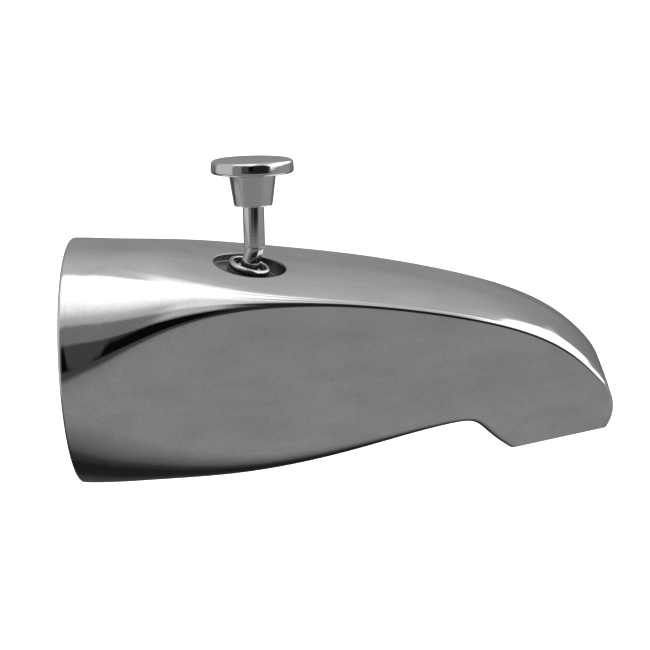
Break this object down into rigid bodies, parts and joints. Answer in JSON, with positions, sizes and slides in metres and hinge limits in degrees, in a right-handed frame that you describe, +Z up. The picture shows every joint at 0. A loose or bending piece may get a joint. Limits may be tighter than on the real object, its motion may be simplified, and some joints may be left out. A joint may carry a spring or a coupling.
{
  "type": "bath spout",
  "caption": "Chrome bath spout: round wall end flowing into a flat-sided snout with a downturned outlet, and a lift knob whose gate diverts the water to a shower.",
  "frame": {"origin": "centre of the inlet thread's mouth, in the plane where the rim meets the wall", "axes": "+X from the wall to the nose, +Z up, +Y to the left of someone looking from the wall to the nose"},
  "size_m": [0.1304, 0.06, 0.0795],
  "materials": {
    "plated_casting": "mirror-polished chrome plate on a cast body",
    "plated_brass": "bright chrome plate on turned brass",
    "brass": "bare turned brass",
    "steel": "bright drawn stainless steel",
    "acetal": "moulded acetal",
    "rubber": "moulded rubber"
  },
  "bodies": {
    "spout": {"spout_body": "plated_casting", "inlet_bushing": "brass", "bushing_ring": "rubber", "gland_collar": "plated_brass", "stem_ring": "rubber"},
    "diverter": {"gate": "acetal", "gate_seal": "rubber", "lift_stem": "steel", "stem_clip": "steel", "stem_sleeve": "plated_brass", "lift_knob": "plated_casting"}
  },
  "joints": [
    {"name": "lift", "type": "slide", "parent": "spout", "child": "diverter", "axis": [0.3256, 0, 0.9455], "range_m": [0, 0.013]}
  ]
}
